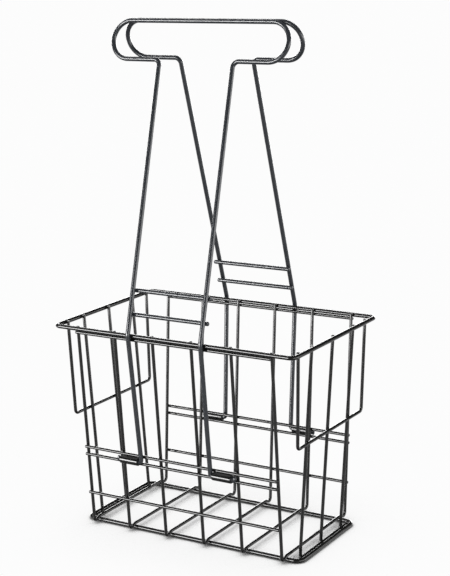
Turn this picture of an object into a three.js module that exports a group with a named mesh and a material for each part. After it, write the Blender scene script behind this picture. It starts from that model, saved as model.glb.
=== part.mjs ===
import * as THREE from 'three';

// Tennis ball hopper: an open basket of welded round wire, with two wire handles that swing in barrels.
// Millimetres, +Z up. +X runs along the basket, and -Y is its front.
// The origin is on the floor under the basket's middle.

// Wire stock, as diameters
const rimWire = 6.5;
const baseWire = 6.5;
const frameWire = 5;
const handleWire = 7;
const rungWire = 6.5;
// Gap left where one wire is welded to another or rests on it
const seat = 0.3;

// Rim ring, measured on its centre line
const rimLength = 408;
const rimWidth = 262;
const rimHeight = 322;
const rimCorner = 9;

// Base ring, measured on its centre line. A straight bar doubles each of its short sides on the inside.
const baseLength = 376.5;
const baseWidth = 174;
const baseCorner = 12;

// Cross wires: each is a U that runs down the front, across the bottom and up the back. Its two bends hang
// down outside the base ring, and its bottom bar lies over the ring.
const crossCount = 6;
const crossPitch = 66.5;
const crossFootWidth = 204.2;
const crossFootHeight = 3.6;
const crossCorner = 5.5;
// How far below the top of the rim ring the upright wires end
const topDrop = 0.5;

// End wires: three uprights that close each short end
const endCount = 3;
const endPitch = 66;
// Height of their lower ends above the floor
const endLift = 2;

// Side wires: a close pair that carries the barrels, and one lower wire
const pairHeight = 126.5;
const pairSpacing = 12;
const lowerWireHeight = 57;
// How far the side wires, and the bars under the rim, stop short of the outermost cross wires' far sides
const sideShortfall = 1.3;
const rimBarShortfall = 1.5;

// Guard loops: a U of wire that ties the end wires together, a little narrower at its bar than at the rim.
// The right-hand one's bar was welded on a little higher.
const guardRimWidth = 214;
const guardBarWidth = 206;
const guardHeights = { right: 180.5, left: 177.6 };
const guardCorner = 6;

// Barrels: short tubes that the handle pins turn in
const barrelDiameter = 12.5;
const barrelLength = 32;
const pinClearance = 0.4;

// Handles: leg spacings between centre lines, at the pin, at the knee and at the grip
const pinLegSpacing = 121;
const kneeLegSpacing = 124.5;
const gripLegSpacing = 125.5;
const pinBend = 4;
const kneeBend = 16;
const gripLegBend = 9;
// Height of the knee above the rim ring, and of the grip's top bar above the floor
const kneeRise = 3;
const gripTopHeight = 770.5;
// Grip loop, on its centre line, and the gap between the two top bars
const gripLength = 297.5;
const gripHeight = 58;
const gripGap = 1.2;
// Each handle is bent a little to its own left at the knee, the leg and the grip, which sets its legs
// beside the other handle's legs
const kneeOffset = 2;
const legOffset = 4.5;
const gripOffset = 4.4;
// Both handles also stand leaning to the left of the basket, by this much at the top bars
const handleLean = 8.3;
// Pin ends: length past the barrel, and the flat that keeps the pin in
const pinTail = 6;
const pinTaper = 1.5;
const flatWidth = 10;
const flatThickness = 4.2;

// Rungs: cross bars behind the legs, the lower and the upper one, as heights above the rim ring
const rungRises = { front: [33, 67], back: [35.5, 67] };
const rungOverhang = 2;

// Fineness of the faceted wires
const wireSides = 12;
const barrelSides = 24;
const bendStep = THREE.MathUtils.degToRad(16);

const blackCoat = new THREE.MeshStandardMaterial({ color: 0x17181a, roughness: 0.38, metalness: 0.3 });

const hopper = new THREE.Group();

function addMesh(name, geometry, turn = 0) {
  const mesh = new THREE.Mesh(geometry, blackCoat.clone());
  mesh.name = name;
  mesh.rotation.z = turn;
  hopper.add(mesh);
  return mesh;
}

/** Rounds one corner of a run of wire: points of the arc that joins the way in to the way out. */
function bend(before, corner, after, radius) {
  const inward = before.clone().sub(corner).normalize();
  const outward = after.clone().sub(corner).normalize();
  const turn = Math.PI - inward.angleTo(outward);
  const setback = radius * Math.tan(turn / 2);
  const toCentre = inward.clone().add(outward).normalize();
  const centre = corner.clone().addScaledVector(toCentre, radius / Math.cos(turn / 2));
  const arm = corner.clone().addScaledVector(inward, setback).sub(centre);
  const axis = outward.clone().cross(inward).normalize();
  const steps = Math.max(2, Math.ceil(turn / bendStep));
  const points = [];
  for (let step = 0; step <= steps; step += 1) {
    const swung = arm.clone().applyAxisAngle(axis, turn * step / steps);
    points.push(centre.clone().add(swung));
  }
  return points;
}

/** A run of wire from its corner points. Each corner has a bend radius; a point without one is an end. */
function runOf(corners, closed = false) {
  const points = [];
  corners.forEach(({ at, radius = 0 }, index) => {
    if (radius === 0) {
      points.push(at.clone());
      return;
    }
    const before = corners[(index + corners.length - 1) % corners.length].at;
    const after = corners[(index + 1) % corners.length].at;
    for (const point of bend(before, at, after, radius)) {
      const last = points[points.length - 1];
      if (!last || last.distanceTo(point) > seat) points.push(point);
    }
  });
  return { points, closed };
}

/** Sweeps a round wire along a run. Its facets touch the diameter, and flats() can squash its section. */
function wireGeometry(run, diameter, flats = () => [1, 1]) {
  const { points, closed } = run;
  const count = points.length;
  const tangents = points.map((point, index) => {
    const next = points[closed ? (index + 1) % count : Math.min(index + 1, count - 1)];
    const last = points[closed ? (index + count - 1) % count : Math.max(index - 1, 0)];
    const ahead = next.clone().sub(point).normalize();
    const behind = point.clone().sub(last).normalize();
    return ahead.add(behind).normalize();
  });
  const upright = Math.abs(tangents[0].z) > Math.SQRT1_2;
  const start = upright ? new THREE.Vector3(1, 0, 0) : new THREE.Vector3(0, 0, 1);
  const normal = start.addScaledVector(tangents[0], -start.dot(tangents[0])).normalize();
  const cornerRadius = diameter / 2 / Math.cos(Math.PI / wireSides);
  const positions = [];
  const indices = [];
  tangents.forEach((tangent, index) => {
    if (index > 0) {
      const swing = new THREE.Quaternion().setFromUnitVectors(tangents[index - 1], tangent);
      normal.applyQuaternion(swing);
    }
    const side = tangent.clone().cross(normal);
    const [alongNormal, alongSide] = flats(points[index]);
    for (let corner = 0; corner < wireSides; corner += 1) {
      const angle = (corner + 1 / 2) * 2 * Math.PI / wireSides;
      const vertex = points[index].clone()
        .addScaledVector(normal, cornerRadius * alongNormal * Math.cos(angle))
        .addScaledVector(side, cornerRadius * alongSide * Math.sin(angle));
      positions.push(...vertex.toArray());
    }
  });
  const rings = closed ? count : count - 1;
  for (let ring = 0; ring < rings; ring += 1) {
    for (let corner = 0; corner < wireSides; corner += 1) {
      const beside = (corner + 1) % wireSides;
      const here = ring * wireSides;
      const there = ((ring + 1) % count) * wireSides;
      indices.push(here + corner, here + beside, there + corner);
      indices.push(here + beside, there + beside, there + corner);
    }
  }
  if (!closed) {
    const end = (count - 1) * wireSides;
    for (let corner = 1; corner < wireSides - 1; corner += 1) {
      indices.push(0, corner + 1, corner);
      indices.push(end, end + corner, end + corner + 1);
    }
  }
  const geometry = new THREE.BufferGeometry();
  geometry.setAttribute('position', new THREE.Float32BufferAttribute(positions, 3));
  geometry.setIndex(indices);
  geometry.computeVertexNormals();
  return geometry;
}

/**
 * The straight line in an (out, up) plane that passes lowGap inside one point and highGap
 * inside a higher one. A negative gap passes outside the point.
 */
function lineInside(low, lowGap, high, highGap) {
  const span = high.clone().sub(low);
  const lean = Math.atan2(span.x, span.y) - Math.asin((highGap - lowGap) / span.length());
  const up = new THREE.Vector2(Math.sin(lean), Math.cos(lean));
  const out = new THREE.Vector2(Math.cos(lean), -Math.sin(lean));
  const start = low.clone().addScaledVector(out, -lowGap);
  return { start, up, out };
}

function atHeight(line, height) {
  return line.start.clone().addScaledVector(line.up, (height - line.start.y) / line.up.y);
}

/** Puts an (out, up) point of the front side, or of the right-hand end, into the basket's frame. */
const onFront = (x, point) => new THREE.Vector3(x, -point.x, point.y);
const onRight = (point, y) => new THREE.Vector3(point.x, y, point.y);

/** Places of a centred row of evenly pitched wires. */
function rowOf(count, pitch) {
  return Array.from({ length: count }, (_, index) => (index - (count - 1) / 2) * pitch);
}

// Where wires of two sizes lie centre to centre when one is welded on the other
const frameOnFrame = frameWire + seat;
const frameOnRim = (frameWire + rimWire) / 2 + seat;
const frameOnBase = (frameWire + baseWire) / 2 + seat;
const handleOnRim = (handleWire + rimWire) / 2 + seat;
const rungOnHandle = (rungWire + handleWire) / 2 + seat;
const barrelOnFrame = (barrelDiameter + frameWire) / 2 + seat;

const uprightTop = rimHeight + rimWire / 2 - topDrop;
const crossBarHeight = baseWire + frameWire / 2 + seat;
const rimFront = new THREE.Vector2(rimWidth / 2, rimHeight);
const rimEnd = new THREE.Vector2(rimLength / 2, rimHeight);
const crossFoot = new THREE.Vector2(crossFootWidth / 2, crossFootHeight);
const baseFront = new THREE.Vector2(baseWidth / 2, baseWire / 2);
const endBar = new THREE.Vector2(baseLength / 2 - frameOnBase, baseWire / 2);

// Lines that the uprights of the long sides and of the short ends lean along
const sideLine = lineInside(crossFoot, 0, rimFront, frameOnRim);
const endLine = lineInside(endBar, frameOnFrame, rimEnd, frameOnRim);

// Where a cross wire, rising from its bend over the base ring, turns level
const crossShoulder = atHeight(lineInside(crossFoot, 0, baseFront, -frameOnBase), crossBarHeight);

// The right-hand end stands as drawn, and the left-hand one is turned half round
const endTurns = { right: 0, left: Math.PI };

const crossPlaces = rowOf(crossCount, crossPitch);
const crossHalfLength = crossPlaces[crossCount - 1] + frameWire / 2;

/** A closed rounded rectangle of wire, lying flat. */
function ringRun(length, width, height, radius) {
  const corners = [[1, -1], [1, 1], [-1, 1], [-1, -1]].map(([alongX, alongY]) => ({
    at: new THREE.Vector3(alongX * length / 2, alongY * width / 2, height),
    radius,
  }));
  return runOf(corners, true);
}

function addRings() {
  addMesh('rim_ring', wireGeometry(ringRun(rimLength, rimWidth, rimHeight, rimCorner), rimWire));
  addMesh('base_ring', wireGeometry(ringRun(baseLength, baseWidth, baseWire / 2, baseCorner), baseWire));
  const reach = baseWidth / 2 - baseCorner;
  const run = runOf([{ at: onRight(endBar, -reach) }, { at: onRight(endBar, reach) }]);
  const bar = wireGeometry(run, frameWire);
  addMesh('right_end_bar', bar);
  addMesh('left_end_bar', bar, Math.PI);
}

function addCrossWires() {
  const half = [
    [atHeight(sideLine, uprightTop)],
    [crossFoot, crossCorner],
    [crossShoulder, frameOnBase],
  ];
  crossPlaces.forEach((x, index) => {
    const front = half.map(([point, radius]) => ({ at: new THREE.Vector3(x, -point.x, point.y), radius }));
    const back = half.map(([point, radius]) => ({ at: new THREE.Vector3(x, point.x, point.y), radius }));
    addMesh(`cross_wire_${index + 1}`, wireGeometry(runOf([...front, ...back.reverse()]), frameWire));
  });
}

function addEndWires() {
  const foot = atHeight(endLine, endLift);
  const top = atHeight(endLine, uprightTop);
  rowOf(endCount, endPitch).forEach((y, index) => {
    const geometry = wireGeometry(runOf([{ at: onRight(foot, y) }, { at: onRight(top, y) }]), frameWire);
    addMesh(`right_end_wire_${index + 1}`, geometry);
    addMesh(`left_end_wire_${index + 1}`, geometry, Math.PI);
  });
}

/** The centre of a wire that lies along the outside of the cross wires at a given height. */
function besideUprights(height) {
  return atHeight(sideLine, height).addScaledVector(sideLine.out, frameOnFrame);
}

function addSideWire(name, point, shortfall = sideShortfall) {
  const reach = crossHalfLength - shortfall;
  const run = runOf([{ at: onFront(-reach, point) }, { at: onFront(reach, point) }]);
  const geometry = wireGeometry(run, frameWire);
  addMesh(`front_${name}`, geometry);
  addMesh(`back_${name}`, geometry, Math.PI);
}

const pairMiddle = besideUprights(pairHeight);

function addSideWires() {
  const below = Math.sqrt(frameOnRim ** 2 - (frameOnRim - frameOnFrame) ** 2);
  const rimBar = rimFront.clone()
    .addScaledVector(sideLine.out, frameOnFrame - frameOnRim)
    .addScaledVector(sideLine.up, -below);
  addSideWire('rim_bar', rimBar, rimBarShortfall);
  addSideWire('pair_wire_upper', pairMiddle.clone().addScaledVector(sideLine.up, pairSpacing / 2));
  addSideWire('pair_wire_lower', pairMiddle.clone().addScaledVector(sideLine.up, -pairSpacing / 2));
  addSideWire('bottom_wire', besideUprights(lowerWireHeight));
}

function addGuardLoops() {
  for (const [end, turn] of Object.entries(endTurns)) {
    const bar = atHeight(endLine, guardHeights[end]).addScaledVector(endLine.out, frameOnFrame);
    const armLine = lineInside(bar, 0, rimEnd, frameOnRim);
    const top = atHeight(armLine, uprightTop);
    const run = runOf([
      { at: onRight(top, -guardRimWidth / 2) },
      { at: onRight(bar, -guardBarWidth / 2), radius: guardCorner },
      { at: onRight(bar, guardBarWidth / 2), radius: guardCorner },
      { at: onRight(top, guardRimWidth / 2) },
    ]);
    addMesh(`${end}_guard_loop`, wireGeometry(run, frameWire), turn);
  }
}

// The pivot lies in the groove of the pair, as far out as the barrel's own size puts it
const pivot = pairMiddle.clone()
  .addScaledVector(sideLine.out, Math.sqrt(barrelOnFrame ** 2 - (pairSpacing / 2) ** 2));
const barrelStart = pinLegSpacing / 2 + pinBend + seat;

function addBarrels() {
  const bore = handleWire / 2 + pinClearance;
  const wall = barrelDiameter / 2;
  const profile = [[bore, 0], [wall, 0], [wall, barrelLength], [bore, barrelLength], [bore, 0]];
  const outline = profile.map(([radius, along]) => new THREE.Vector2(radius, along));
  const tube = new THREE.LatheGeometry(outline, barrelSides).rotateZ(-Math.PI / 2);
  for (const [side, start] of [['right', barrelStart], ['left', -barrelStart - barrelLength]]) {
    const geometry = tube.clone().translate(...onFront(start, pivot).toArray());
    addMesh(`front_${side}_barrel`, geometry);
    addMesh(side === 'right' ? 'back_left_barrel' : 'back_right_barrel', geometry, Math.PI);
  }
}

// Outside the rim ring the lower legs stand against it, and above it they lean in to the grips
const legLine = lineInside(pivot, 0, rimFront, -handleOnRim);
const knee = atHeight(legLine, rimHeight + kneeRise);
const gripTop = new THREE.Vector2((handleWire + gripGap) / 2, gripTopHeight);
const upperLine = lineInside(knee, 0, gripTop, 0);
const gripBottom = gripTop.clone().addScaledVector(upperLine.up, -gripHeight);
const pinEnd = barrelStart + barrelLength + pinTail;
const flatStart = pinEnd - pinTail + pinTaper;

// The front handle stands as drawn, and the back one is turned half round to face the other way
const handleTurns = { front: 0, back: Math.PI };

/** How far the shared lean puts the middle of a handle to its own right at a given height. */
function leanAt(height, turn) {
  return -handleLean * Math.cos(turn) * (height - pivot.y) / (gripTopHeight - pivot.y);
}

/** Where the middle of a handle lies, sideways, at its knee, its leg's top and the grip's two bars. */
function middlesOf(turn) {
  return {
    kneeMiddle: leanAt(knee.y, turn) - kneeOffset,
    legMiddle: leanAt(gripBottom.y, turn) - legOffset,
    bottomMiddle: leanAt(gripBottom.y, turn) - gripOffset,
    topMiddle: leanAt(gripTop.y, turn) - gripOffset,
  };
}

/** The run of a handle, from the end of one pin, up and round the grip, to the end of the other. */
function handleRun(turn) {
  const { kneeMiddle, legMiddle, bottomMiddle, topMiddle } = middlesOf(turn);
  const [left, right] = [-1, 1].map((side) => [
    { at: onFront(side * pinEnd, pivot) },
    { at: onFront(side * (flatStart + pinTaper), pivot) },
    { at: onFront(side * flatStart, pivot) },
    { at: onFront(side * pinLegSpacing / 2, pivot), radius: pinBend },
    { at: onFront(kneeMiddle + side * kneeLegSpacing / 2, knee), radius: kneeBend },
    { at: onFront(legMiddle + side * gripLegSpacing / 2, gripBottom), radius: gripLegBend },
    { at: onFront(bottomMiddle + side * gripLength / 2, gripBottom), radius: gripHeight / 2 },
    { at: onFront(topMiddle + side * gripLength / 2, gripTop), radius: gripHeight / 2 },
  ]);
  return runOf([...left, ...right.reverse()]);
}

function addHandles() {
  const flats = ({ x, z }) => {
    const flattened = z < pivot.y + pinBend && Math.abs(x) > flatStart + pinTaper / 2;
    return flattened ? [flatWidth / handleWire, flatThickness / handleWire] : [1, 1];
  };
  for (const [side, turn] of Object.entries(handleTurns)) {
    addMesh(`${side}_handle`, wireGeometry(handleRun(turn), handleWire, flats), turn);
  }
}

function addRungs() {
  const rungNames = ['lower_rung', 'upper_rung'];
  for (const [side, turn] of Object.entries(handleTurns)) {
    const { kneeMiddle, legMiddle } = middlesOf(turn);
    rungRises[side].forEach((rise, index) => {
      const onLeg = atHeight(upperLine, rimHeight + rise);
      const climb = (onLeg.y - knee.y) / (gripBottom.y - knee.y);
      const spacing = THREE.MathUtils.lerp(kneeLegSpacing, gripLegSpacing, climb);
      const middle = THREE.MathUtils.lerp(kneeMiddle, legMiddle, climb);
      const reach = spacing / 2 + handleWire / 2 + rungOverhang;
      const centre = onLeg.addScaledVector(upperLine.out, -rungOnHandle);
      const run = runOf([{ at: onFront(middle - reach, centre) }, { at: onFront(middle + reach, centre) }]);
      addMesh(`${side}_${rungNames[index]}`, wireGeometry(run, rungWire), turn);
    });
  }
}

addRings();
addCrossWires();
addEndWires();
addSideWires();
addGuardLoops();
addBarrels();
addHandles();
addRungs();

export default hopper;
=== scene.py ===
import math
import random
import bmesh
import bpy
from mathutils import Matrix, Vector, noise


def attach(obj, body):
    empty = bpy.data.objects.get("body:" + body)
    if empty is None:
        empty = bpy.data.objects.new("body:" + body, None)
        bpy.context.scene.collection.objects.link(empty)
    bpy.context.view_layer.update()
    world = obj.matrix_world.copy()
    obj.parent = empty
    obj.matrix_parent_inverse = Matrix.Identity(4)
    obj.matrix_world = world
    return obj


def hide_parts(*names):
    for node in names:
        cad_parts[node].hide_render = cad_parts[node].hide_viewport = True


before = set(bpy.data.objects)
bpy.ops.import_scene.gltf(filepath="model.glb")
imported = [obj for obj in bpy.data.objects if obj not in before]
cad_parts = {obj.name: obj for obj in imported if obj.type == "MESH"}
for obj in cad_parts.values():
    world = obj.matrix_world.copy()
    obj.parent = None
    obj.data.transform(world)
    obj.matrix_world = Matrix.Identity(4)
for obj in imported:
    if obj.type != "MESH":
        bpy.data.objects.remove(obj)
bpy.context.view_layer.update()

# A hopper of black coated wire: an open basket, and two wire handles that swing in barrels on its
# long sides. Metres, Z up; X runs along the basket and -Y is its front.

# View
# The camera stands in front of the basket's right-hand corner, about as high as the grips, and looks
# down a little through a long lens. It is held almost level.
camera_place = (1.13282, -1.85563, 0.87213)
camera_turn = math.radians(31.013)
camera_tilt = math.radians(-12.914)
camera_roll = math.radians(-1.087)
lens = 0.092504
film = 0.036
millimetres = 1000
view_depth = 200
camera_data = bpy.data.cameras.new("view")
camera_data.lens = lens * millimetres
camera_data.sensor_width = film * millimetres
camera_data.clip_end = view_depth
camera = bpy.data.objects.new("view", camera_data)
bpy.context.scene.collection.objects.link(camera)
camera.matrix_world = (
    Matrix.Translation(camera_place)
    @ Matrix.Rotation(camera_turn, 4, "Z")
    @ Matrix.Rotation(math.pi / 2 + camera_tilt, 4, "X")
    @ Matrix.Rotation(camera_roll, 4, "Z")
)
bpy.context.scene.camera = camera

# Studio
# The floor is glass, and an evenly lit white room shines through it wherever nothing lies close above it.
# Close under the wires a grey sheet shows instead, as painted contact shadow, and around them the glass
# is tinted darker, as painted shadow. Three long, low light boxes draw the light stripes along the coated
# wires, the light of a far white sheet shows in the upright ones, and black cloth hides the rest of the
# room from them.
floor_reach = 60
floor_sides = 32
# Grey of the sheet that shows only close under the wires: painted contact shadow, which the lamps light
# as well.
contact_shadow_colour = (0.28, 0.28, 0.28, 1)
openness_samples = 8
contact_reach = 0.03
contact_openness = (0.55, 0.84)
shade_reach = 0.16
shade_openness = (0.5, 1)
shade_depth = 0.78
room_light = 0.975
cloth_light = 0.02
sheet_light = 0.6
sheet_below_horizon = {"near": 80, "near_lit": 20, "far_lit": 8, "far": 3}
box_height = math.sin(math.radians(2))
box_core = math.sin(math.radians(3))
box_edge = math.sin(math.radians(15.8))
side_edge = 14
light_boxes = {
    "left": {"from": -31, "half_width": 14, "light": 26},
    "right": {"from": 98, "half_width": 38, "light": 5},
    "back": {"from": -155, "half_width": 24, "light": 8},
}
key_lamp = {"power": 0.45, "spread": 50, "height": 55, "from": -100}
floor_mesh = bpy.data.meshes.new("floor")
floor_bm = bmesh.new()
floor_corners = []
for step in range(floor_sides):
    turn = 2 * math.pi * step / floor_sides
    corner = floor_bm.verts.new((floor_reach * math.cos(turn), floor_reach * math.sin(turn), 0))
    floor_corners.append(corner)
floor_bm.faces.new(floor_corners)
floor_bm.to_mesh(floor_mesh)
floor_bm.free()
floor = bpy.data.objects.new("floor", floor_mesh)
bpy.context.scene.collection.objects.link(floor)
floor.visible_glossy = False
floor_look = bpy.data.materials.new("painted_contact_shadow_floor")
floor_look.use_nodes = True
contact_shadow_shader = floor_look.node_tree.nodes["Principled BSDF"]
contact_shadow_shader.inputs["Base Color"].default_value = contact_shadow_colour
contact_shadow_shader.inputs["Roughness"].default_value = 1
contact_shadow_shader.inputs["Specular IOR Level"].default_value = 0


def openness(reach, dark_light, darkest):
    """How open the floor lies to the room above it, looking no further than a reach; it sets where shade
    is painted on the floor.
    """
    around = floor_look.node_tree.nodes.new("ShaderNodeAmbientOcclusion")
    around.samples = openness_samples
    around.inputs["Distance"].default_value = reach
    ramp = floor_look.node_tree.nodes.new("ShaderNodeMapRange")
    ramp.interpolation_type = "SMOOTHSTEP"
    ramp.inputs["From Min"].default_value = dark_light[0]
    ramp.inputs["From Max"].default_value = dark_light[1]
    ramp.inputs["To Min"].default_value = darkest
    floor_look.node_tree.links.new(around.outputs["AO"], ramp.inputs["Value"])
    return ramp.outputs["Result"]


# The see-through floor is tinted darker, down to shade_depth, where things close it in from above:
# painted shadow.
shaded_glass = floor_look.node_tree.nodes.new("ShaderNodeBsdfTransparent")
floor_look.node_tree.links.new(openness(shade_reach, shade_openness, shade_depth), shaded_glass.inputs["Color"])
# Close under the wires the grey sheet shows instead of the see-through floor: painted contact shadow.
contact_shadow_mix = floor_look.node_tree.nodes.new("ShaderNodeMixShader")
floor_look.node_tree.links.new(openness(contact_reach, contact_openness, 0), contact_shadow_mix.inputs["Fac"])
floor_look.node_tree.links.new(contact_shadow_shader.outputs["BSDF"], contact_shadow_mix.inputs[1])
floor_look.node_tree.links.new(shaded_glass.outputs["BSDF"], contact_shadow_mix.inputs[2])
floor_output = floor_look.node_tree.nodes["Material Output"]
floor_look.node_tree.links.new(contact_shadow_mix.outputs["Shader"], floor_output.inputs["Surface"])
floor.data.materials.append(floor_look)


def towards(turn, height=0):
    """The direction of a light, turned from straight ahead of the front and raised from the floor."""
    turn = math.radians(turn)
    height = math.radians(height)
    level = math.cos(height)
    return Vector((math.sin(turn) * level, -math.cos(turn) * level, math.sin(height)))


room = bpy.data.worlds.new("white_room")
room.use_nodes = True
room_nodes = room.node_tree.nodes
room_links = room.node_tree.links
room_place = room_nodes.new("ShaderNodeTexCoord").outputs["Generated"]


def room_math(operation, first, second):
    """Works out one value of the room from two, each a number or a node's output."""
    node = room_nodes.new("ShaderNodeMath")
    node.operation = operation
    for socket, value in zip(node.inputs, (first, second)):
        if isinstance(value, (int, float)):
            socket.default_value = value
        else:
            room_links.new(value, socket)
    return node.outputs["Value"]


def pointing_at(direction):
    """How nearly a place of the room lies in a direction, from -1 to 1."""
    node = room_nodes.new("ShaderNodeVectorMath")
    node.operation = "DOT_PRODUCT"
    node.inputs[1].default_value = direction
    room_links.new(room_place, node.inputs[0])
    return node.outputs["Value"]


def fade(value, dark, light, strength=1):
    """Fades a light in between two values."""
    node = room_nodes.new("ShaderNodeMapRange")
    node.interpolation_type = "SMOOTHSTEP"
    node.inputs["From Min"].default_value = dark
    node.inputs["From Max"].default_value = light
    node.inputs["To Max"].default_value = strength
    room_links.new(value, node.inputs["Value"])
    return node.outputs["Result"]


gloss_light = 0
for box in light_boxes.values():
    core = math.cos(math.radians(box["half_width"]))
    edge = math.cos(math.radians(box["half_width"] + side_edge))
    lit = fade(pointing_at(towards(box["from"])), edge, core, box["light"])
    gloss_light = room_math("ADD", gloss_light, lit)
upward = pointing_at((0, 0, 1))
off_height = room_math("ABSOLUTE", room_math("SUBTRACT", upward, box_height), 0)
gloss_light = room_math("MULTIPLY", gloss_light, fade(off_height, box_edge, box_core))
sheet_rises = {place: -math.sin(math.radians(below)) for place, below in sheet_below_horizon.items()}
sheet = fade(upward, sheet_rises["near"], sheet_rises["near_lit"], sheet_light)
sheet = room_math("MULTIPLY", sheet, fade(upward, sheet_rises["far"], sheet_rises["far_lit"]))
gloss_light = room_math("ADD", gloss_light, sheet)
gloss_light = room_math("ADD", gloss_light, cloth_light)
ray = room_nodes.new("ShaderNodeLightPath")
strength = room_nodes.new("ShaderNodeMix")
strength.inputs["A"].default_value = room_light
room_links.new(ray.outputs["Is Glossy Ray"], strength.inputs["Factor"])
room_links.new(gloss_light, strength.inputs["B"])
room_nodes["Background"].inputs["Color"].default_value = (1, 1, 1, 1)
room_links.new(strength.outputs["Result"], room_nodes["Background"].inputs["Strength"])
bpy.context.scene.world = room
bpy.context.scene.view_settings.view_transform = "Standard"
lamp_data = bpy.data.lights.new("key_lamp", "SUN")
lamp_data.energy = key_lamp["power"]
lamp_data.angle = math.radians(key_lamp["spread"])
lamp_data.specular_factor = 0
lamp_object = bpy.data.objects.new("key_lamp", lamp_data)
bpy.context.scene.collection.objects.link(lamp_object)
lamp_object.rotation_mode = "QUATERNION"
lamp_object.rotation_quaternion = towards(key_lamp["from"], key_lamp["height"]).to_track_quat("Z", "Y")

# Rim ring
# The heaviest wire of the basket, round steel bent to a rectangle with small corners and butt-welded.
# Like all of the hopper it is sprayed with black powder and baked, which leaves a faint orange peel.
rim_wire = 0.0065
rim_length = 0.408
rim_width = 0.262
rim_height = 0.322
rim_corner = 0.009
wire_sides = 20
bend_step = math.radians(7.5)
straight_step = 0.03
end_rounding = 0.45
end_steps = 4
end_flat_steps = 0.6
steep = 0.7
coat_thinning = 0.02
coat_patch = 55
closeness = 0.00005
coat_shades = ((0.006, 0.006, 0.006), (0.011, 0.011, 0.0105))
coat_gloss = (0.1, 0.17)
cloud_size = {"scale": 45, "detail": 3}
cloud_range = (0.35, 0.7)
gloss_size = {"scale": 140, "detail": 4}
gloss_range = (0.3, 0.7)
peel_size = {"scale": 700, "detail": 2}
peel_depth = 0.000005


def bend(before, corner, after, radius):
    """The arc that a bending press leaves between two straight stretches of wire."""
    inward = (before - corner).normalized()
    outward = (after - corner).normalized()
    turn = math.pi - inward.angle(outward)
    setback = radius * math.tan(turn / 2)
    centre = corner + (inward + outward).normalized() * radius / math.cos(turn / 2)
    arm = corner + inward * setback - centre
    axis = outward.cross(inward).normalized()
    steps = max(2, math.ceil(turn / bend_step))
    return [centre + Matrix.Rotation(turn * step / steps, 3, axis) @ arm for step in range(steps + 1)]


def wire_run(corners, closed=False):
    """The middle line of a wire, from its corners and their bend radii. A radius of 0 is an end."""
    places = [Vector(place) for place, radius in corners]
    points = []
    for index, (place, radius) in enumerate(corners):
        arc = [places[index]]
        if radius > 0:
            after = places[(index + 1) % len(places)]
            arc = bend(places[index - 1], places[index], after, radius)
        for point in arc:
            if not points or (point - points[-1]).length > closeness:
                points.append(point)
    if closed and (points[0] - points[-1]).length < closeness:
        points.pop()
    pairs = list(zip(points, points[1:] + points[:1])) if closed else list(zip(points, points[1:]))
    run = []
    for start, end in pairs:
        steps = max(1, math.ceil((end - start).length / straight_step))
        run += [start.lerp(end, step / steps) for step in range(steps)]
    return run if closed else run + [points[-1]]


def turned(run):
    """The same wire on the opposite side of the basket."""
    return [Vector((-point.x, -point.y, point.z)) for point in run]


def wire_mesh(name, run, diameter, closed=False, pressed=None):
    """Draws a round wire along its middle line, with the coat's slight unevenness and rounded ends."""
    count = len(run)
    radius = diameter / 2
    ahead = [run[(i + 1) % count if closed else min(i + 1, count - 1)] for i in range(count)]
    behind = [run[i - 1 if closed else max(i - 1, 0)] for i in range(count)]
    tangents = [((ahead[i] - run[i]).normalized() + (run[i] - behind[i]).normalized()).normalized()
                for i in range(count)]
    upright = abs(tangents[0].z) > steep
    normal = Vector((1, 0, 0)) if upright else Vector((0, 0, 1))
    normal = (normal - tangents[0] * normal.dot(tangents[0])).normalized()
    stations = []
    for i in range(count):
        if i > 0:
            normal = tangents[i - 1].rotation_difference(tangents[i]) @ normal
        wide, thick = pressed(run[i]) if pressed else (1, 1)
        stations.append((run[i], tangents[i], normal.copy(), wide, thick))
    if not closed:
        first, last = [], []
        for step in range(end_steps + 1):
            turn = math.pi / 2 * step / (end_steps + end_flat_steps)
            back = radius * end_rounding * (1 - math.sin(turn))
            shrink = 1 - end_rounding + end_rounding * math.cos(turn)
            for rows, station, direction in ((first, stations[0], 1), (last, stations[-1], -1)):
                place, tangent, across, wide, thick = station
                place = place + tangent * back * direction
                rows.append((place, tangent, across, wide * shrink, thick * shrink))
        inner = [s for s in stations[1:-1]
                 if min((s[0] - run[0]).length, (s[0] - run[-1]).length) > radius * end_rounding]
        stations = first[::-1] + inner + last
    bm = bmesh.new()
    rings = []
    for place, tangent, across, wide, thick in stations:
        side = tangent.cross(across)
        ring = []
        for step in range(wire_sides):
            turn = 2 * math.pi * step / wire_sides
            reach = across * wide * math.cos(turn) + side * thick * math.sin(turn)
            surface = place + reach * radius
            thinned = 1 - coat_thinning * (1 + noise.noise(surface * coat_patch)) / 2
            ring.append(bm.verts.new(place + reach * radius * thinned))
        rings.append(ring)
    pairs = list(zip(rings, rings[1:] + rings[:1])) if closed else list(zip(rings, rings[1:]))
    for here, there in pairs:
        for step in range(wire_sides):
            beside = (step + 1) % wire_sides
            bm.faces.new((here[step], here[beside], there[beside], there[step]))
    if not closed:
        for ring, station in ((rings[0], stations[0]), (rings[-1], stations[-1])):
            middle = bm.verts.new(station[0])
            for step in range(wire_sides):
                bm.faces.new((ring[(step + 1) % wire_sides], ring[step], middle))
    return finished_piece(name, bm)


def finished_piece(name, bm):
    """Turns a built mesh into a smooth-shaded piece, with its faces turned outwards."""
    bmesh.ops.recalc_face_normals(bm, faces=bm.faces)
    mesh = bpy.data.meshes.new(name)
    bm.to_mesh(mesh)
    bm.free()
    mesh.shade_smooth()
    piece = bpy.data.objects.new(name, mesh)
    bpy.context.scene.collection.objects.link(piece)
    return piece


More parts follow.
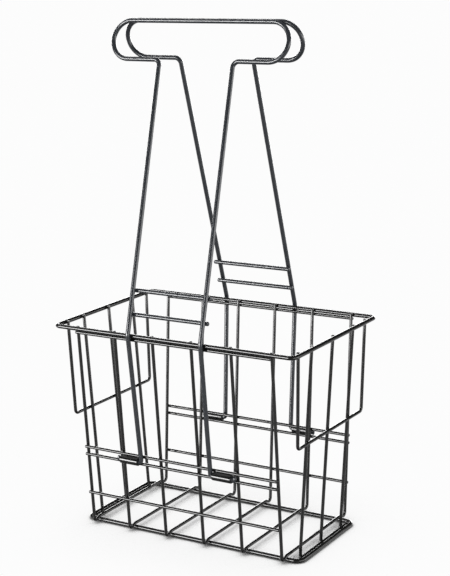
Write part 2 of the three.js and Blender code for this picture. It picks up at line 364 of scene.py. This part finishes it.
def black_coat(name, shades=coat_shades, gloss=coat_gloss):
    """Baked black powder: two shades that cloud into each other, an uneven gloss and an orange peel."""
    material = bpy.data.materials.new(name)
    material.use_nodes = True
    nodes = material.node_tree.nodes
    links = material.node_tree.links
    shader = nodes["Principled BSDF"]
    place = nodes.new("ShaderNodeTexCoord").outputs["Object"]

    def speckle(scale, detail):
        """Random patches of powder, smaller as the scale goes up."""
        texture = nodes.new("ShaderNodeTexNoise")
        texture.inputs["Scale"].default_value = scale
        texture.inputs["Detail"].default_value = detail
        links.new(place, texture.inputs["Vector"])
        return texture.outputs["Fac"]

    clouds = nodes.new("ShaderNodeValToRGB")
    for end, position, shade in zip(clouds.color_ramp.elements, cloud_range, shades):
        end.position = position
        end.color = (*shade, 1)
    links.new(speckle(**cloud_size), clouds.inputs["Fac"])
    links.new(clouds.outputs["Color"], shader.inputs["Base Color"])
    uneven_gloss = nodes.new("ShaderNodeMapRange")
    uneven_gloss.inputs["From Min"].default_value = gloss_range[0]
    uneven_gloss.inputs["From Max"].default_value = gloss_range[1]
    uneven_gloss.inputs["To Min"].default_value = gloss[0]
    uneven_gloss.inputs["To Max"].default_value = gloss[1]
    links.new(speckle(**gloss_size), uneven_gloss.inputs["Value"])
    links.new(uneven_gloss.outputs["Result"], shader.inputs["Roughness"])
    orange_peel = nodes.new("ShaderNodeBump")
    orange_peel.inputs["Strength"].default_value = 1
    orange_peel.inputs["Distance"].default_value = peel_depth
    links.new(speckle(**peel_size), orange_peel.inputs["Height"])
    links.new(orange_peel.outputs["Normal"], shader.inputs["Normal"])
    return material


def mounted(piece, body, slot, material, *nodes):
    """Gives a piece its coat and the body it is fixed to, and hides the solids it stands for."""
    piece.data.materials.append(material)
    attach(piece, body)
    if nodes:
        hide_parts(*nodes)


def ring_corners(length, width, height, radius):
    """The four bends of a ring of wire, from front right round to front left."""
    sides = ((1, -1), (1, 1), (-1, 1), (-1, -1))
    return [((x * length / 2, y * width / 2, height), radius) for x, y in sides]


basket_coat = black_coat("basket_coat_black")
rim_run = wire_run(ring_corners(rim_length, rim_width, rim_height, rim_corner), closed=True)
rim_piece = wire_mesh("rim_ring_coated", rim_run, rim_wire, closed=True)
mounted(rim_piece, "basket", "basket_coat", basket_coat, "rim_ring")

# Base ring
# A second ring of the same heavy wire, which the hopper stands on. A straight bar of thinner wire is
# welded inside each of its short sides, and the end wires stand on those bars.
base_wire = 0.0065
base_length = 0.3765
base_width = 0.174
base_corner = 0.012
frame_wire = 0.005
seat = 0.0003
frame_on_base = (frame_wire + base_wire) / 2 + seat
end_bar = Vector((base_length / 2 - frame_on_base, base_wire / 2))
along_y = Vector((0, 1, 0))
weld_reach = 0.0019
weld_sides = 14
weld_rows = 4
weld_sink = 0.00015
weld_waist = 0.25
weld_unevenness = 0.12
weld_lobes = (2, 3)
weld_core_share = 0.3
widest_share = 0.95
bead_stretch = 2.2
bead_shares = (-0.8, 0, 0.8)
weld_dice = random.Random(5)


def on_right(point, y):
    """A point of the right-hand end, given as a distance outwards and a height."""
    return Vector((point.x, y, point.y))


def turned_spots(spots):
    """The same welds on the opposite side of the basket."""
    return [(turned(places), wires, stretch) for places, wires, stretch in spots]


def weld_mesh(name, spots):
    """Draws the lumpy collars of melted steel that fill the crevices where pairs of wires touch.

    A weld is given by the middle and direction of both wires, their diameters and its stretch.
    """
    bm = bmesh.new()
    for (high, high_way, low, low_way), (high_wire, low_wire), stretch in spots:
        across = (high - low).normalized()
        gap = (high - low).length - (high_wire + low_wire) / 2
        middle = low + across * (low_wire + gap) / 2
        beside = across.cross(high_way).normalized()
        starts = [weld_dice.uniform(0, 2 * math.pi) for lobes in weld_lobes]
        rows = [[] for row in range(weld_rows + 1)]
        for step in range(weld_sides):
            turn = 2 * math.pi * step / weld_sides
            lumpy = sum(math.sin(lobes * turn + start) for lobes, start in zip(weld_lobes, starts))
            reach = weld_reach * (1 + weld_unevenness * lumpy)
            arm = (high_way * stretch * math.cos(turn) + beside * math.sin(turn)) * reach
            edges = []
            for way, wire in ((high_way, high_wire), (low_way, low_wire)):
                aside = min((arm - way * arm.dot(way)).length, widest_share * wire / 2)
                edges.append(gap / 2 + weld_sink + wire / 2 - math.sqrt((wire / 2) ** 2 - aside**2))
            for row, ring in enumerate(rows):
                share = row / weld_rows
                height = edges[0] * (1 - share) - edges[1] * share
                waist = 1 - weld_waist * math.sin(math.pi * share)
                ring.append(bm.verts.new(middle + arm * waist + across * height))
        for here, there in zip(rows, rows[1:]):
            for step in range(weld_sides):
                next_step = (step + 1) % weld_sides
                bm.faces.new((here[step], here[next_step], there[next_step], there[step]))
        for ring, wire, direction in ((rows[0], high_wire, 1), (rows[-1], low_wire, -1)):
            core = bm.verts.new(middle + across * direction * (gap / 2 + weld_core_share * wire))
            for step in range(weld_sides):
                bm.faces.new((ring[step], ring[(step + 1) % weld_sides], core))
    return finished_piece(name, bm)


base_run = wire_run(ring_corners(base_length, base_width, base_wire / 2, base_corner), closed=True)
base_piece = wire_mesh("base_ring_coated", base_run, base_wire, closed=True)
mounted(base_piece, "basket", "basket_coat", basket_coat, "base_ring")
end_bar_reach = base_width / 2 - base_corner
end_bar_run = wire_run([(on_right(end_bar, -end_bar_reach), 0), (on_right(end_bar, end_bar_reach), 0)])
for side, run in (("right", end_bar_run), ("left", turned(end_bar_run))):
    bar_piece = wire_mesh(f"{side}_end_bar_coated", run, frame_wire)
    mounted(bar_piece, "basket", "basket_coat", basket_coat, f"{side}_end_bar")
spots = []
for share in bead_shares:
    y = end_bar_reach * share
    beside_ring = [Vector((base_length / 2, y, base_wire / 2)), along_y, on_right(end_bar, y), along_y]
    spots.append((beside_ring, (base_wire, frame_wire), bead_stretch))
mounted(weld_mesh("end_bar_welds", spots + turned_spots(spots)), "basket", "basket_coat", basket_coat)

# Cross wires
# Six wires bent to a U: each runs down the front, over the base ring, across the bottom and up the back.
# They are spot-welded to both rings, and their cut ends lie just below the rim's top.
cross_count = 6
cross_pitch = 0.0665
cross_foot_width = 0.2042
cross_foot_height = 0.0036
cross_corner = 0.0055
top_drop = 0.0005
frame_on_frame = frame_wire + seat
frame_on_rim = (frame_wire + rim_wire) / 2 + seat
upright_top = rim_height + rim_wire / 2 - top_drop
rim_front = Vector((rim_width / 2, rim_height))
cross_foot = Vector((cross_foot_width / 2, cross_foot_height))
base_front = Vector((base_width / 2, base_wire / 2))
along_x = Vector((1, 0, 0))


def line_inside(low, low_gap, high, high_gap):
    """A leaning line that passes one gap inside a lower wire and another inside a higher wire."""
    span = high - low
    lean = math.atan2(span.x, span.y) - math.asin((high_gap - low_gap) / span.length)
    up = Vector((math.sin(lean), math.cos(lean)))
    out = Vector((math.cos(lean), -math.sin(lean)))
    return low - out * low_gap, up, out


def at_height(line, height):
    """The point of a leaning line at a height above the floor."""
    start, up, out = line
    return start + up * (height - start.y) / up.y


def on_front(x, point):
    """A point of the front side, given as a distance outwards and a height."""
    return Vector((x, -point.x, point.y))


def row_of(count, pitch):
    """Evenly spaced places on both sides of the middle."""
    return [(index - (count - 1) / 2) * pitch for index in range(count)]


side_line = line_inside(cross_foot, 0, rim_front, frame_on_rim)
cross_bar_height = base_wire + frame_wire / 2 + seat
foot_line = line_inside(cross_foot, 0, base_front, -frame_on_base)
cross_shoulder = at_height(foot_line, cross_bar_height)
cross_places = row_of(cross_count, cross_pitch)
cross_half = (
    (at_height(side_line, upright_top), 0),
    (cross_foot, cross_corner),
    (cross_shoulder, frame_on_base),
)
for index, x in enumerate(cross_places):
    front_half = [(on_front(x, point), radius) for point, radius in cross_half]
    back_half = [((x, point.x, point.y), radius) for point, radius in cross_half]
    cross_run = wire_run(front_half + back_half[::-1])
    cross_piece = wire_mesh(f"cross_wire_{index + 1}_coated", cross_run, frame_wire)
    mounted(cross_piece, "basket", "basket_coat", basket_coat, f"cross_wire_{index + 1}")
side_up, side_out = side_line[1:]
side_rise = on_front(0, side_up)
over_base = (foot_line[2] + Vector((0, 1))).normalized()
over_way = on_front(0, Vector((-over_base.y, over_base.x)))
spots = []
for x in cross_places:
    inside_rim = on_front(x, rim_front - side_out * frame_on_rim)
    at_rim = [on_front(x, rim_front), along_x, inside_rim, side_rise]
    spots.append((at_rim, (rim_wire, frame_wire), 1))
    above_base = on_front(x, base_front + over_base * frame_on_base)
    at_base = [above_base, over_way, on_front(x, base_front), along_x]
    spots.append((at_base, (frame_wire, base_wire), 1))
mounted(weld_mesh("cross_wire_welds", spots + turned_spots(spots)), "basket", "basket_coat", basket_coat)

# End wires
# Three straight uprights of the same wire as the cross wires close each short end. They are welded inside
# the end bar and the rim ring, and their cut ends lie just below the rim's top.
end_count = 3
end_pitch = 0.066
end_lift = 0.002
rim_end = Vector((rim_length / 2, rim_height))
end_line = line_inside(end_bar, frame_on_frame, rim_end, frame_on_rim)
end_places = row_of(end_count, end_pitch)
for index, y in enumerate(end_places):
    foot = on_right(at_height(end_line, end_lift), y)
    top = on_right(at_height(end_line, upright_top), y)
    end_run = wire_run([(foot, 0), (top, 0)])
    for side, run in (("right", end_run), ("left", turned(end_run))):
        end_piece = wire_mesh(f"{side}_end_wire_{index + 1}_coated", run, frame_wire)
        mounted(end_piece, "basket", "basket_coat", basket_coat, f"{side}_end_wire_{index + 1}")
end_up, end_out = end_line[1:]
end_rise = on_right(end_up, 0)
spots = []
for y in end_places:
    inside_rim = on_right(rim_end - end_out * frame_on_rim, y)
    at_rim = [on_right(rim_end, y), along_y, inside_rim, end_rise]
    spots.append((at_rim, (rim_wire, frame_wire), 1))
    inside_bar = on_right(end_bar - end_out * frame_on_frame, y)
    at_bar = [on_right(end_bar, y), along_y, inside_bar, end_rise]
    spots.append((at_bar, (frame_wire, frame_wire), 1))
mounted(weld_mesh("end_wire_welds", spots + turned_spots(spots)), "basket", "basket_coat", basket_coat)

# Side wires
# Straight wires welded along the outside of the cross wires: one close under the rim, a pair that
# carries the barrels, and one lower down. They are cut off a little short of the outermost wires' edge.
pair_height = 0.1265
pair_spacing = 0.012
lower_wire_height = 0.057
side_shortfall = 0.0013
rim_bar_shortfall = 0.0015
cross_half_length = cross_places[-1] + frame_wire / 2
rim_bar_drop = math.sqrt(frame_on_rim**2 - (frame_on_rim - frame_on_frame) ** 2)
pair_middle = at_height(side_line, pair_height) + side_out * frame_on_frame
side_wires = {
    "rim_bar": rim_front + side_out * (frame_on_frame - frame_on_rim) - side_up * rim_bar_drop,
    "pair_wire_upper": pair_middle + side_up * pair_spacing / 2,
    "pair_wire_lower": pair_middle - side_up * pair_spacing / 2,
    "bottom_wire": at_height(side_line, lower_wire_height) + side_out * frame_on_frame,
}
for wire, point in side_wires.items():
    reach = cross_half_length - (rim_bar_shortfall if wire == "rim_bar" else side_shortfall)
    side_run = wire_run([(on_front(-reach, point), 0), (on_front(reach, point), 0)])
    for side, run in (("front", side_run), ("back", turned(side_run))):
        side_piece = wire_mesh(f"{side}_{wire}_coated", run, frame_wire)
        mounted(side_piece, "basket", "basket_coat", basket_coat, f"{side}_{wire}")
spots = []
for point in side_wires.values():
    for x in cross_places:
        behind = on_front(x, point - side_out * frame_on_frame)
        crossing = [on_front(x, point), along_x, behind, side_rise]
        spots.append((crossing, (frame_wire, frame_wire), 1))
mounted(weld_mesh("side_wire_welds", spots + turned_spots(spots)), "basket", "basket_coat", basket_coat)

# Guard loops
# At each short end a U of the same thin wire hangs from the inside of the rim, where its ends are welded,
# and its level bar is welded across the outside of the three end wires.
guard_rim_width = 0.214
guard_bar_width = 0.206
guard_heights = {"right": 0.1805, "left": 0.1776}
guard_corner = 0.006
guard_spots = []
for side, height in guard_heights.items():
    guard_bar = at_height(end_line, height) + end_out * frame_on_frame
    guard_line = line_inside(guard_bar, 0, rim_end, frame_on_rim)
    guard_top = at_height(guard_line, upright_top)
    guard_run = wire_run([
        (on_right(guard_top, -guard_rim_width / 2), 0),
        (on_right(guard_bar, -guard_bar_width / 2), guard_corner),
        (on_right(guard_bar, guard_bar_width / 2), guard_corner),
        (on_right(guard_top, guard_rim_width / 2), 0),
    ])
    spots = []
    for y in end_places:
        behind = on_right(guard_bar - end_out * frame_on_frame, y)
        crossing = [on_right(guard_bar, y), along_y, behind, end_rise]
        spots.append((crossing, (frame_wire, frame_wire), 1))
    arm_up, arm_out = guard_line[1:]
    below_top = (guard_top.y - rim_height) / (guard_top.y - guard_bar.y)
    arm_place = (guard_rim_width + (guard_bar_width - guard_rim_width) * below_top) / 2
    for y in (-arm_place, arm_place):
        inside_rim = on_right(rim_end - arm_out * frame_on_rim, y)
        at_rim = [on_right(rim_end, y), along_y, inside_rim, on_right(arm_up, 0)]
        spots.append((at_rim, (rim_wire, frame_wire), 1))
    if side == "left":
        guard_run = turned(guard_run)
        spots = turned_spots(spots)
    guard_spots += spots
    guard_piece = wire_mesh(f"{side}_guard_loop_coated", guard_run, frame_wire)
    mounted(guard_piece, "basket", "basket_coat", basket_coat, f"{side}_guard_loop")
mounted(weld_mesh("guard_loop_welds", guard_spots), "basket", "basket_coat", basket_coat)

# Barrels
# Four short pieces of steel tube, two on each long side, tacked into the groove of the paired wires.
# The handle's pins turn in them, and their rims are rounded.
barrel_diameter = 0.0125
barrel_length = 0.032
pin_clearance = 0.0004
handle_wire = 0.007
pin_leg_spacing = 0.121
pin_bend = 0.004
barrel_rim = 0.0009
barrel_sides = 40
rim_steps = 4
tack_inset = 0.0045
tack_stretch = 1.5
barrel_on_frame = (barrel_diameter + frame_wire) / 2 + seat
pivot = pair_middle + side_out * math.sqrt(barrel_on_frame**2 - (pair_spacing / 2) ** 2)
barrel_start = pin_leg_spacing / 2 + pin_bend + seat
side_facings = {"front": 1, "back": -1}


def barrel_mesh(name, start, facing):
    """A length of tube along X, lathed from its wall's outline with every edge rounded."""
    inner = handle_wire / 2 + pin_clearance
    outer = barrel_diameter / 2
    corners = (
        (outer - barrel_rim, barrel_rim, 3),
        (outer - barrel_rim, barrel_length - barrel_rim, 0),
        (inner + barrel_rim, barrel_length - barrel_rim, 1),
        (inner + barrel_rim, barrel_rim, 2),
    )
    outline = []
    for across, along, quarter in corners:
        for step in range(rim_steps + 1):
            turn = math.pi / 2 * (quarter + step / rim_steps)
            outline.append((across + barrel_rim * math.cos(turn), along + barrel_rim * math.sin(turn)))
    bm = bmesh.new()
    rings = []
    for step in range(barrel_sides):
        turn = 2 * math.pi * step / barrel_sides
        ring = []
        for across, along in outline:
            y = -facing * pivot.x + across * math.cos(turn)
            ring.append(bm.verts.new((start + along, y, pivot.y + across * math.sin(turn))))
        rings.append(ring)
    for here, there in zip(rings, rings[1:] + rings[:1]):
        for step in range(len(outline)):
            beside = (step + 1) % len(outline)
            bm.faces.new((here[step], here[beside], there[beside], there[step]))
    return finished_piece(name, bm)


barrel_coat = black_coat("barrel_coat_black")
for side, facing in side_facings.items():
    for hand, start in (("right", barrel_start), ("left", -barrel_start - barrel_length)):
        barrel_piece = barrel_mesh(f"{side}_{hand}_barrel_coated", start, facing)
        mounted(barrel_piece, "basket", "barrel_coat", barrel_coat, f"{side}_{hand}_barrel")
spots = []
for place in (barrel_start + tack_inset, barrel_start + barrel_length - tack_inset):
    for x in (-place, place):
        for wire in ("pair_wire_upper", "pair_wire_lower"):
            in_groove = [on_front(x, pivot), along_x, on_front(x, side_wires[wire]), along_x]
            spots.append((in_groove, (barrel_diameter, frame_wire), tack_stretch))
mounted(weld_mesh("barrel_welds", spots + turned_spots(spots)), "basket", "barrel_coat", barrel_coat)

# Handles
# Each handle is one long wire: a pin in each barrel, two legs that stand against the rim and lean in
# above it, and a flattened loop for a grip. The pins' ends are pressed flat so that they stay in.
knee_leg_spacing = 0.1245
grip_leg_spacing = 0.1255
knee_bend = 0.016
grip_leg_bend = 0.009
knee_rise = 0.003
grip_top_height = 0.7705
grip_length = 0.2975
grip_height = 0.058
grip_gap = 0.0012
knee_offset = 0.002
leg_offset = 0.0045
grip_offset = 0.0044
handle_lean = 0.0083
pin_tail = 0.006
pin_taper = 0.0015
flat_width = 0.01
flat_thickness = 0.0042
handle_shades = ((0.0255, 0.0285, 0.0335), (0.0355, 0.039, 0.0445))
handle_gloss = (0.14, 0.24)
handle_on_rim = (handle_wire + rim_wire) / 2 + seat
leg_line = line_inside(pivot, 0, rim_front, -handle_on_rim)
knee = at_height(leg_line, rim_height + knee_rise)
grip_top = Vector(((handle_wire + grip_gap) / 2, grip_top_height))
upper_line = line_inside(knee, 0, grip_top, 0)
grip_bottom = grip_top - upper_line[1] * grip_height
pin_end = barrel_start + barrel_length + pin_tail
flat_start = pin_end - pin_tail + pin_taper


def lean_at(height, facing):
    """How far the shared lean to the left puts the middle of a handle to its own right."""
    return -handle_lean * facing * (height - pivot.y) / (grip_top_height - pivot.y)


def handle_middles(facing):
    """Where the middle of a handle lies, to its own right, at each of its bends."""
    return {
        "knee": lean_at(knee.y, facing) - knee_offset,
        "leg": lean_at(grip_bottom.y, facing) - leg_offset,
        "bottom": lean_at(grip_bottom.y, facing) - grip_offset,
        "top": lean_at(grip_top.y, facing) - grip_offset,
    }


def handle_corners(facing):
    """The corners of a handle from the end of one pin, up and round the grip, to the other pin."""
    middle = handle_middles(facing)
    halves = []
    for side in (-1, 1):
        halves.append([
            (on_front(side * pin_end, pivot), 0),
            (on_front(side * (flat_start + pin_taper), pivot), 0),
            (on_front(side * flat_start, pivot), 0),
            (on_front(side * pin_leg_spacing / 2, pivot), pin_bend),
            (on_front(middle["knee"] + side * knee_leg_spacing / 2, knee), knee_bend),
            (on_front(middle["leg"] + side * grip_leg_spacing / 2, grip_bottom), grip_leg_bend),
            (on_front(middle["bottom"] + side * grip_length / 2, grip_bottom), grip_height / 2),
            (on_front(middle["top"] + side * grip_length / 2, grip_top), grip_height / 2),
        ])
    return halves[0] + halves[1][::-1]


def pressed_pin(point):
    """How far a press has squashed the wire at a point near the end of a pin."""
    share = min(1, max(0, (abs(point.x) - flat_start) / pin_taper))
    if abs(point.y) < pivot.x - pin_bend:
        share = 0
    wide = 1 + share * (flat_width / handle_wire - 1)
    thick = 1 + share * (flat_thickness / handle_wire - 1)
    return wide, thick


handle_coat = black_coat("handle_coat_black", handle_shades, handle_gloss)
for side, facing in side_facings.items():
    handle_run = wire_run(handle_corners(facing))
    if facing < 0:
        handle_run = turned(handle_run)
    handle_piece = wire_mesh(f"{side}_handle_coated", handle_run, handle_wire, pressed=pressed_pin)
    mounted(handle_piece, f"{side}_handle", "handle_coat", handle_coat, f"{side}_handle")

# Rungs
# Two short bars of coated wire are welded behind the legs of each handle, just above the rim. They hold
# the legs apart and close the space between them.
rung_wire = 0.0065
rung_rises = {
    "front": {"lower_rung": 0.033, "upper_rung": 0.067},
    "back": {"lower_rung": 0.0355, "upper_rung": 0.067},
}
rung_overhang = 0.002
rung_on_handle = (rung_wire + handle_wire) / 2 + seat
upper_up, upper_out = upper_line[1:]
leg_rise = on_front(0, upper_up)
for side, facing in side_facings.items():
    middle = handle_middles(facing)
    rung_spots = []
    for rung, rise in rung_rises[side].items():
        on_leg = at_height(upper_line, rim_height + rise)
        climb = (on_leg.y - knee.y) / (grip_bottom.y - knee.y)
        spacing = knee_leg_spacing + (grip_leg_spacing - knee_leg_spacing) * climb
        centre = middle["knee"] + (middle["leg"] - middle["knee"]) * climb
        reach = spacing / 2 + handle_wire / 2 + rung_overhang
        behind_leg = on_leg - upper_out * rung_on_handle
        rung_ends = (centre - reach, centre + reach)
        run = wire_run([(on_front(x, behind_leg), 0) for x in rung_ends])
        for x in (centre - spacing / 2, centre + spacing / 2):
            crossing = [on_front(x, on_leg), leg_rise, on_front(x, behind_leg), along_x]
            rung_spots.append((crossing, (handle_wire, rung_wire), 1))
        if facing < 0:
            run = turned(run)
        rung_piece = wire_mesh(f"{side}_{rung}_coated", run, rung_wire)
        mounted(rung_piece, f"{side}_handle", "handle_coat", handle_coat, f"{side}_{rung}")
    rung_spots = rung_spots if facing > 0 else turned_spots(rung_spots)
    mounted(weld_mesh(f"{side}_rung_welds", rung_spots), f"{side}_handle", "handle_coat", handle_coat)
